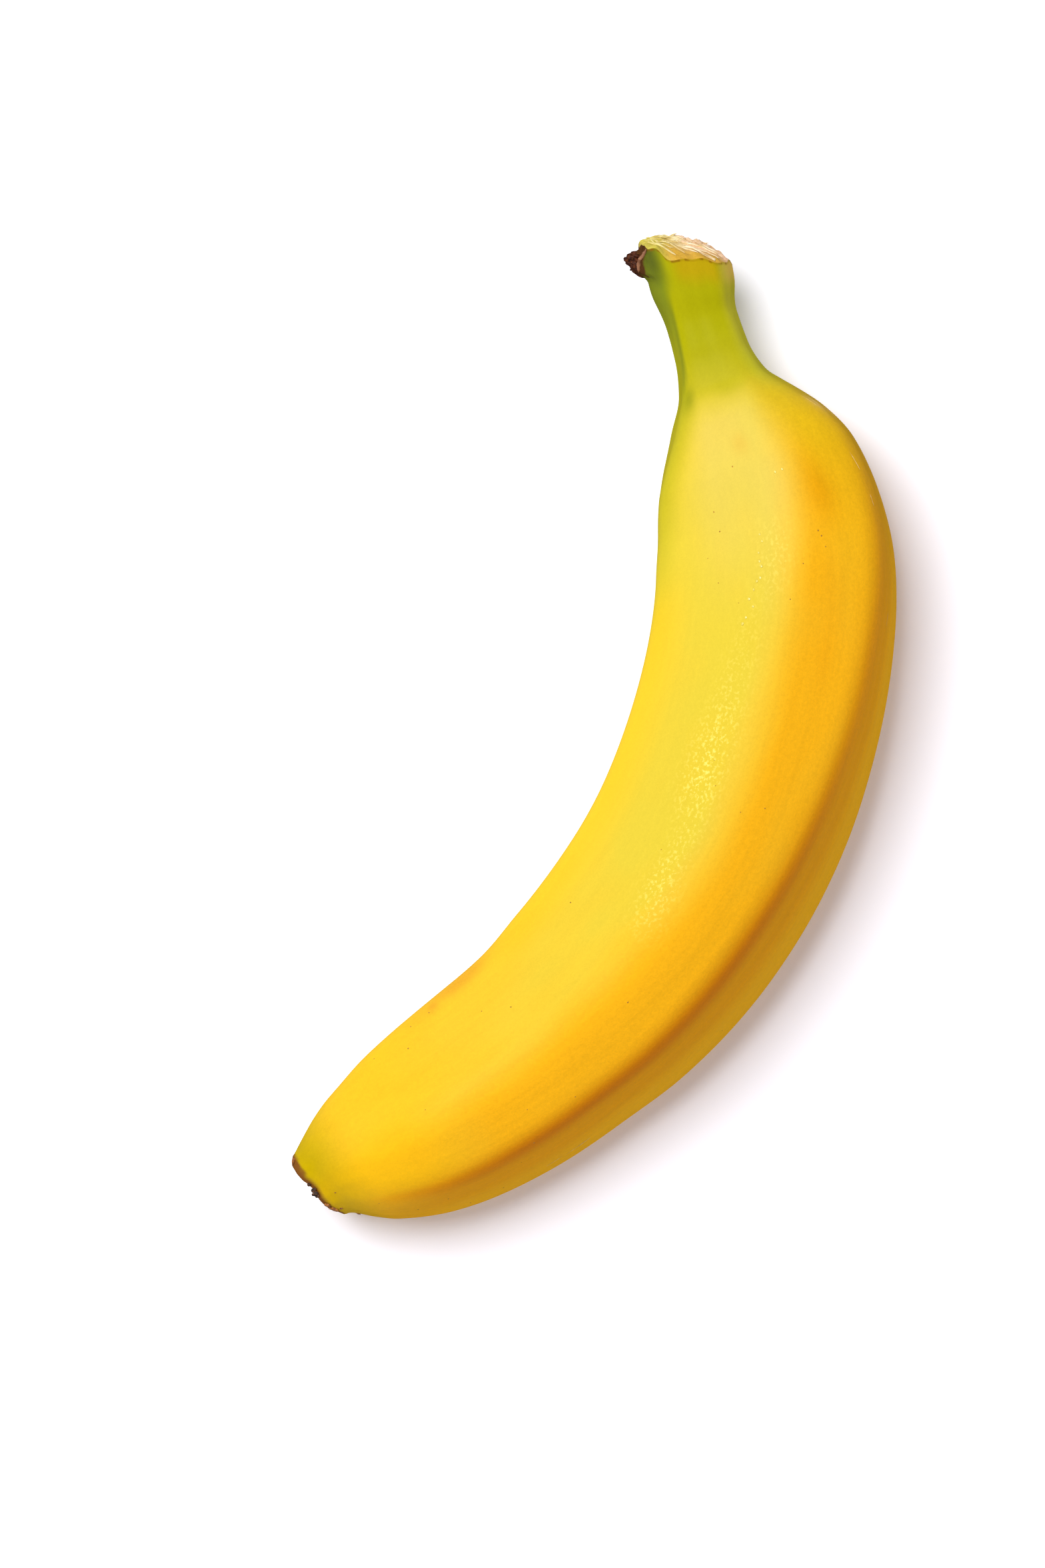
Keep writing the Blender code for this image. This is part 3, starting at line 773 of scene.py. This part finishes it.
# Pith of the stalk: spongy and peach where it was pulled into soft scraps, with no gloss
soft_pith = bpy.data.materials.new("soft stalk pith")
soft_pith.use_nodes = True
tree = soft_pith.node_tree
shader = tree.nodes["Principled BSDF"]
places_in_mm = add_node(
    tree, "VectorMath",
    {0: add_node(tree, "TexCoord").outputs["Object"], 1: (1000, 1000, 1000)}, operation="MULTIPLY",
)
spongy = add_node(tree, "TexNoise", {"Vector": places_in_mm.outputs[0], "Scale": 1 / 0.8, "Detail": 4.0})
shade = add_node(tree, "MapRange", {"Value": spongy.outputs[0], 1: 0.36, 2: 0.6})
colour = add_node(
    tree, "Mix", {0: shade.outputs[0], 6: linear("C69E70"), 7: linear("E0C2A0")}, data_type="RGBA",
)
bumps = add_node(tree, "Bump", {"Height": spongy.outputs[0], "Distance": 0.2 * MM})
tree.links.new(colour.outputs[2], shader.inputs["Base Color"])
tree.links.new(bumps.outputs[0], shader.inputs["Normal"])
shader.inputs["Roughness"].default_value = 0.85
shader.inputs["Specular IOR Level"].default_value = 0.15
finish_piece("torn_scraps", scraps, soft_pith)


# Scales and fold of the dried crown
# On the inner side of the stalk a flap of the bunch's crown is left, dried to dark maroon
# scales that stand out like a ragged fan, with a paler fold of skin along their root.
SCALE_ANGLES = range(-122, -70, 8)
SCALE_PLACES = (4.7, 5.4, 6.1, 6.6)
FOLD_ANGLES = ((0, -53), (0.35, -60), (0.7, -67), (1, -74))
FOLD_PLACES = ((0, 3.05), (0.35, 4.3), (0.7, 5.6), (1, 6.9))
FOLD_RADIUS = 0.28


def lay_on_peel(local, angle, along):
    """Lays small things on the peel. Local places in mm are round the fruit, along and away."""
    near = carry(np.ones(2), np.array([angle - 0.5, angle + 0.5]), np.full(2, float(along)))
    degrees_a_mm = 1 / np.linalg.norm(near[1] - near[0])
    angles = angle + local[:, 0] * degrees_a_mm
    places = along + local[:, 1]
    full = np.ones(len(local))
    lift = peel_relief(angles, places) + local[:, 2]
    return carry(full, angles, places, lift, end_relief(full, angles, places))


scales = bmesh.new()
for scale_angle in SCALE_ANGLES:
    for scale_place in SCALE_PLACES:
        half_sizes = (draw.uniform(0.3, 0.5), draw.uniform(0.3, 0.5), draw.uniform(0.5, 1.1))
        points, local = add_lump(scales, half_sizes, 0.7, scale_angle + scale_place)
        local[:, 1] += draw.uniform(-0.5, 0.5) * local[:, 2]
        centre = (scale_angle + draw.uniform(-3, 3), scale_place + draw.uniform(-0.3, 0.3))
        move_points(points, lay_on_peel(local, *centre))

# Dried crown skin: shrunk and leathery, so it is dark maroon with a dull sheen on its edges
leathery_scale = bpy.data.materials.new("leathery dried scale")
leathery_scale.use_nodes = True
tree = leathery_scale.node_tree
shader = tree.nodes["Principled BSDF"]
places_in_mm = add_node(
    tree, "VectorMath",
    {0: add_node(tree, "TexCoord").outputs["Object"], 1: (1000, 1000, 1000)}, operation="MULTIPLY",
)
wrinkles = add_node(tree, "TexNoise", {"Vector": places_in_mm.outputs[0], "Scale": 1 / 0.6, "Detail": 4.0})
shade = add_node(tree, "MapRange", {"Value": wrinkles.outputs[0], 1: 0.42, 2: 0.66})
colour = add_node(
    tree, "Mix", {0: shade.outputs[0], 6: linear("30140A"), 7: linear("5C2E14")}, data_type="RGBA",
)
bumps = add_node(tree, "Bump", {"Height": wrinkles.outputs[0], "Distance": 0.25 * MM})
tree.links.new(colour.outputs[2], shader.inputs["Base Color"])
tree.links.new(bumps.outputs[0], shader.inputs["Normal"])
shader.inputs["Roughness"].default_value = 0.6
shader.inputs["Specular IOR Level"].default_value = 0.15
finish_piece("crown_scales", scales, leathery_scale)

fold = bmesh.new()
points = bmesh.ops.create_uvsphere(fold, u_segments=10, v_segments=36, radius=1.0)["verts"]
thick, deep, run = np.array([point.co for point in points]).T
run = (run + 1) / 2
wavy = 1 + 0.35 * lumps(np.column_stack((thick, deep, run * 9)), (1, 1, 1), 3.3)
fold_angles = smooth_through(FOLD_ANGLES, run) + thick * wavy * FOLD_RADIUS * 7
fold_places = smooth_through(FOLD_PLACES, run)
full = np.ones(len(run))
lift = peel_relief(fold_angles, fold_places) + FOLD_RADIUS * wavy * (0.5 + deep)
move_points(points, carry(full, fold_angles, fold_places, lift, end_relief(full, fold_angles, fold_places)))

# Dried fold: thin skin that dried over its edge, tan with a pinkish cast
dried_fold = bpy.data.materials.new("dried skin fold")
dried_fold.use_nodes = True
tree = dried_fold.node_tree
shader = tree.nodes["Principled BSDF"]
places_in_mm = add_node(
    tree, "VectorMath",
    {0: add_node(tree, "TexCoord").outputs["Object"], 1: (1000, 1000, 1000)}, operation="MULTIPLY",
)
patchy = add_node(tree, "TexNoise", {"Vector": places_in_mm.outputs[0], "Scale": 1 / 0.9, "Detail": 3.0})
shade = add_node(tree, "MapRange", {"Value": patchy.outputs[0], 1: 0.38, 2: 0.62})
colour = add_node(
    tree, "Mix", {0: shade.outputs[0], 6: linear("6A4022"), 7: linear("946444")}, data_type="RGBA",
)
tree.links.new(colour.outputs[2], shader.inputs["Base Color"])
shader.inputs["Roughness"].default_value = 0.65
finish_piece("crown_fold", fold, dried_fold)


# Scabs of the blossom end
# The flower dried off here and left scabs of black and orange brown cork, some on the rim of
# the scar and the rest crumbling on its face. All of them are fast to the fruit.
# Rim scabs: side place on the upper half, place along, and half sizes in mm
BLACK_SCABS = (
    (-0.12, 184.5, (0.35, 0.25, 0.2)), (0.08, 184.6, (0.4, 0.4, 0.25)), (0.2, 184.7, (0.4, 0.5, 0.3)),
    (0.30, 184.6, (0.3, 0.35, 0.25)),
)
BROWN_SCABS = (
    (-0.9, 183.8, (0.35, 0.5, 0.25)), (0.66, 184.2, (0.5, 0.35, 0.25)), (0.8, 183.9, (0.6, 0.5, 0.3)),
    (0.80, 183.0, (0.22, 0.22, 0.12)), (0.98, 181.6, (0.3, 0.3, 0.25)), (0.40, 182.1, (0.12, 0.12, 0.05)),
)
FACE_SCAB_COUNT = 36


def angle_at(side_place, along):
    """Angle of the place on the upper half of the peel that has this side place."""
    angles = np.arange(-90.0, 90.0, 0.5)
    outs = peel_section(np.full(len(angles), float(along)), angles)[0]
    return float(np.interp(side_place, outs, angles))


black_scabs = bmesh.new()
brown_scabs = bmesh.new()
for made, scabs in ((black_scabs, BLACK_SCABS), (brown_scabs, BROWN_SCABS)):
    for number, (scab_side, scab_place, half_sizes) in enumerate(scabs):
        points, local = add_lump(made, half_sizes, 0.6, 3.7 * number + 0.2)
        ring = min(scab_place, LENGTH - 0.5)
        local[:, 1] += scab_place - ring
        move_points(points, lay_on_peel(local, angle_at(scab_side, ring), ring))
for number in range(FACE_SCAB_COUNT):
    turn = math.radians(draw.uniform(-180, 180))
    from_middle = 0.74 * math.sqrt(draw.random())
    half_sizes = (draw.uniform(0.25, 0.7), draw.uniform(0.25, 0.5), draw.uniform(0.15, 0.4))
    points, local = add_lump(black_scabs, half_sizes, 0.6, 1.9 * number + 0.7)
    across = local / HALF_WIDTH[-1][1]
    x = from_middle * math.sin(turn) + across[:, 0] * math.cos(turn) - across[:, 1] * math.sin(turn)
    y = from_middle * math.cos(turn) + across[:, 0] * math.sin(turn) + across[:, 1] * math.cos(turn)
    move_points(points, lay_on_end(BLOSSOM_SCAR, 1, x, y, local[:, 2]))
finish_piece("blossom_scabs_black", black_scabs, blossom_crust)

# Corky rim: dried but not yet black, orange brown like a scab on an apple
corky_rim = bpy.data.materials.new("orange brown cork")
corky_rim.use_nodes = True
tree = corky_rim.node_tree
shader = tree.nodes["Principled BSDF"]
places_in_mm = add_node(
    tree, "VectorMath",
    {0: add_node(tree, "TexCoord").outputs["Object"], 1: (1000, 1000, 1000)}, operation="MULTIPLY",
)
corky = add_node(tree, "TexNoise", {"Vector": places_in_mm.outputs[0], "Scale": 1 / 0.5, "Detail": 3.0})
shade = add_node(tree, "MapRange", {"Value": corky.outputs[0], 1: 0.4, 2: 0.62})
colour = add_node(
    tree, "Mix", {0: shade.outputs[0], 6: linear("7C4616"), 7: linear("B67228")}, data_type="RGBA",
)
bumps = add_node(tree, "Bump", {"Height": corky.outputs[0], "Distance": 0.2 * MM})
tree.links.new(colour.outputs[2], shader.inputs["Base Color"])
tree.links.new(bumps.outputs[0], shader.inputs["Normal"])
shader.inputs["Roughness"].default_value = 0.7
finish_piece("blossom_scabs_brown", brown_scabs, corky_rim)


# Small marks on the peel
# A ripe peel is never clean: a row of pale blisters stands on the crest behind the neck,
# brown specks lie here and there, and the sharpest ridges were scratched in the crate.
BLISTER_COUNT = 12
BLISTER_START = (50.0, -0.12)
BLISTER_END = (64.5, -0.25)
# Place along and side place of the specks that lie on the upper half
SPECKS = (
    (37.7, -0.24), (44.3, -0.49), (48.0, -0.46), (50.4, 0.36), (51.2, 0.38), (52.7, 0.40),
    (54.9, 0.20), (60.2, 0.09), (61.1, -0.32), (171.0, 0.86), (176.5, 0.72),
)
STRAY_SPECK_COUNT = 40
# Place along, side place, length in mm and turn from lengthways in degrees
SCRATCHES = (
    (42.2, 0.86, 2.6, 12), (47.5, 0.88, 1.5, 8), (147.0, 0.98, 3.5, 6), (150.5, 0.99, 2.8, 4),
    (145.5, 0.93, 2.2, 8), (62.0, 0.90, 1.8, -6),
    (32.4, 0.88, 2.4, 2), (33.2, 0.92, 3.0, 5), (35.0, 0.95, 2.2, 2),
)
SCRATCH_RADIUS = 0.07

blisters = bmesh.new()
for number in range(BLISTER_COUNT):
    gone = number / (BLISTER_COUNT - 1)
    blister_place = BLISTER_START[0] + gone * (BLISTER_END[0] - BLISTER_START[0]) + draw.uniform(-0.6, 0.6)
    blister_side = BLISTER_START[1] + gone * (BLISTER_END[1] - BLISTER_START[1]) + draw.uniform(-0.03, 0.03)
    size = draw.uniform(0.13, 0.26)
    points, local = add_lump(blisters, (size, size * 1.3, 0.35 * size), 0.2, number + 0.9)
    move_points(points, lay_on_peel(local, angle_at(blister_side, blister_place), blister_place))
for blister_place, blister_side in ((40.6, 0.20), (40.7, 0.13)):
    points, local = add_lump(blisters, (0.16, 0.22, 0.06), 0.2, blister_side)
    move_points(points, lay_on_peel(local, angle_at(blister_side, blister_place), blister_place))

# Blistered wax: the skin's wax lifted off in bubbles, paler and glossier than the peel
blistered_wax = bpy.data.materials.new("blistered peel wax")
blistered_wax.use_nodes = True
tree = blistered_wax.node_tree
shader = tree.nodes["Principled BSDF"]
places_in_mm = add_node(
    tree, "VectorMath",
    {0: add_node(tree, "TexCoord").outputs["Object"], 1: (1000, 1000, 1000)}, operation="MULTIPLY",
)
patchy = add_node(tree, "TexNoise", {"Vector": places_in_mm.outputs[0], "Scale": 1 / 0.4, "Detail": 2.0})
shade = add_node(tree, "MapRange", {"Value": patchy.outputs[0], 1: 0.35, 2: 0.65})
colour = add_node(
    tree, "Mix", {0: shade.outputs[0], 6: linear("CDB83E"), 7: linear("DCCB66")}, data_type="RGBA",
)
tree.links.new(colour.outputs[2], shader.inputs["Base Color"])
shader.inputs["Roughness"].default_value = 0.3
finish_piece("peel_blisters", blisters, blistered_wax)

specks = bmesh.new()
speck_centres = [(angle_at(speck_side, speck_place), speck_place) for speck_place, speck_side in SPECKS]
for number in range(STRAY_SPECK_COUNT):
    speck_centres.append((draw.uniform(-115, 115), draw.uniform(34, 176)))
for number, centre in enumerate(speck_centres):
    size = draw.uniform(0.06, 0.12)
    points, local = add_lump(specks, (size, size * 1.2, 0.03), 0.4, 2.3 * number)
    move_points(points, lay_on_peel(local, *centre))

# Brown speck: a pore of the peel that died and dried
dried_pore = bpy.data.materials.new("dried brown pore")
dried_pore.use_nodes = True
tree = dried_pore.node_tree
shader = tree.nodes["Principled BSDF"]
places_in_mm = add_node(
    tree, "VectorMath",
    {0: add_node(tree, "TexCoord").outputs["Object"], 1: (1000, 1000, 1000)}, operation="MULTIPLY",
)
patchy = add_node(tree, "TexNoise", {"Vector": places_in_mm.outputs[0], "Scale": 1 / 3.0, "Detail": 2.0})
shade = add_node(tree, "MapRange", {"Value": patchy.outputs[0], 1: 0.35, 2: 0.65})
colour = add_node(
    tree, "Mix", {0: shade.outputs[0], 6: linear("8A5A12"), 7: linear("B07A16")}, data_type="RGBA",
)
tree.links.new(colour.outputs[2], shader.inputs["Base Color"])
shader.inputs["Roughness"].default_value = 0.7
finish_piece("peel_specks", specks, dried_pore)

scratches = bmesh.new()
for scratch_place, scratch_side, scratch_length, turn in SCRATCHES:
    points = bmesh.ops.create_uvsphere(scratches, u_segments=6, v_segments=12, radius=1.0)["verts"]
    ball = np.array([point.co for point in points])
    beside = ball[:, 0] * SCRATCH_RADIUS
    lengthways = ball[:, 2] * scratch_length / 2
    turn = math.radians(turn)
    local = np.column_stack((
        beside * math.cos(turn) + lengthways * math.sin(turn),
        lengthways * math.cos(turn) - beside * math.sin(turn),
        0.02 + 0.3 * ball[:, 1] * SCRATCH_RADIUS,
    ))
    move_points(points, lay_on_peel(local, angle_at(scratch_side, scratch_place), scratch_place))

# Healed scratch: a thin line of pale, dry skin
healed_skin = bpy.data.materials.new("healed pale skin")
healed_skin.use_nodes = True
tree = healed_skin.node_tree
shader = tree.nodes["Principled BSDF"]
places_in_mm = add_node(
    tree, "VectorMath",
    {0: add_node(tree, "TexCoord").outputs["Object"], 1: (1000, 1000, 1000)}, operation="MULTIPLY",
)
patchy = add_node(tree, "TexNoise", {"Vector": places_in_mm.outputs[0], "Scale": 1 / 0.7, "Detail": 2.0})
shade = add_node(tree, "MapRange", {"Value": patchy.outputs[0], 1: 0.4, 2: 0.6})
colour = add_node(
    tree, "Mix", {0: shade.outputs[0], 6: linear("D0A040"), 7: linear("E2C078")}, data_type="RGBA",
)
tree.links.new(colour.outputs[2], shader.inputs["Base Color"])
shader.inputs["Roughness"].default_value = 0.6
finish_piece("peel_scratches", scratches, healed_skin)


# Table, light and camera
# A white acrylic sheet, lit so strongly that only the deepest part of the shadow shows on it,
# under one softbox to the upper left and a pale studio all round.
FLOOR_RADIUS = 1.6
WALL_HEIGHT = 1.2
COVE_RADIUS = 0.5
COVE_STEPS = 12
profile = [(0.0, 0.0), (FLOOR_RADIUS, 0.0)]
for step in range(1, COVE_STEPS + 1):
    turn = math.radians(90 * step / COVE_STEPS)
    profile.append((FLOOR_RADIUS + COVE_RADIUS * math.sin(turn), COVE_RADIUS * (1 - math.cos(turn))))
profile.append((FLOOR_RADIUS + COVE_RADIUS, WALL_HEIGHT))
sweep = turned(profile, 96)
bmesh.ops.reverse_faces(sweep, faces=[face for face in sweep.faces if face.normal.z < -0.1])
floor_mesh = bpy.data.meshes.new("table")
sweep.to_mesh(floor_mesh)
sweep.free()
floor_mesh.shade_smooth()
floor = bpy.data.objects.new("table", floor_mesh)
bpy.context.collection.objects.link(floor)
table_top = bpy.data.materials.new("white acrylic sheet")
table_top.use_nodes = True
tree = table_top.node_tree
shader = tree.nodes["Principled BSDF"]
level = add_node(tree, "SeparateXYZ", {0: add_node(tree, "TexCoord").outputs["Object"]}).outputs["Z"]
up_wall = add_node(tree, "MapRange", {"Value": level, 1: 0.0, 2: COVE_RADIUS}).outputs[0]
sheet = add_node(
    tree, "Mix", {0: up_wall, 6: (0.94, 0.938, 1.0, 1.0), 7: (1.0, 0.985, 0.92, 1.0)}, data_type="RGBA",
)
tree.links.new(sheet.outputs[2], shader.inputs["Base Color"])
shader.inputs["Roughness"].default_value = 0.9
shader.inputs["Specular IOR Level"].default_value = 0.1
shader.inputs["Emission Color"].default_value = (1.0, 1.0, 1.0, 1.0)
shader.inputs["Emission Strength"].default_value = 0.08
floor_mesh.materials.append(table_top)
floor.visible_glossy = False

KEY_DIRECTION = Vector((-0.31, 0.26, 0.92)).normalized()
KEY_DISTANCE = 0.9
KEY_SIZE = 0.58
KEY_POWER = 9.85
key_data = bpy.data.lights.new("softbox", "AREA")
key_data.shape = "DISK"
key_data.size = KEY_SIZE
key_data.energy = KEY_POWER
key = bpy.data.objects.new("softbox", key_data)
key.location = KEY_DIRECTION * KEY_DISTANCE
key.rotation_euler = KEY_DIRECTION.to_track_quat("Z", "Y").to_euler()
bpy.context.collection.objects.link(key)

world = bpy.data.worlds.new("studio")
world.use_nodes = True
tree = world.node_tree
background = tree.nodes["Background"]
ways = add_node(tree, "SeparateXYZ", {0: add_node(tree, "TexCoord").outputs["Generated"]})
above = add_node(tree, "MapRange", {"Value": ways.outputs["Z"], 1: -0.1, 2: 0.1})
studio = add_node(
    tree, "Mix", {0: above.outputs[0], 6: linear("5A4A30"), 7: (0.95, 0.95, 1.08, 1.0)}, data_type="RGBA",
)
tree.links.new(studio.outputs[2], background.inputs["Color"])
background.inputs["Strength"].default_value = 0.32
bpy.context.scene.world = world
bpy.context.scene.view_settings.view_transform = "Standard"

CAMERA_AIM = (-11.19 * MM, -9.22 * MM)
CAMERA_HEIGHT = 1.218
FOCUS_HEIGHT = 0.018
SENSOR = 36.0
FRAME_HEIGHT = 0.24696
camera_data = bpy.data.cameras.new("camera")
camera_data.sensor_fit = "VERTICAL"
camera_data.sensor_height = SENSOR
camera_data.lens = SENSOR * (CAMERA_HEIGHT - FOCUS_HEIGHT) / FRAME_HEIGHT
camera = bpy.data.objects.new("camera", camera_data)
camera.location = (*CAMERA_AIM, CAMERA_HEIGHT)
bpy.context.collection.objects.link(camera)
bpy.context.scene.camera = camera
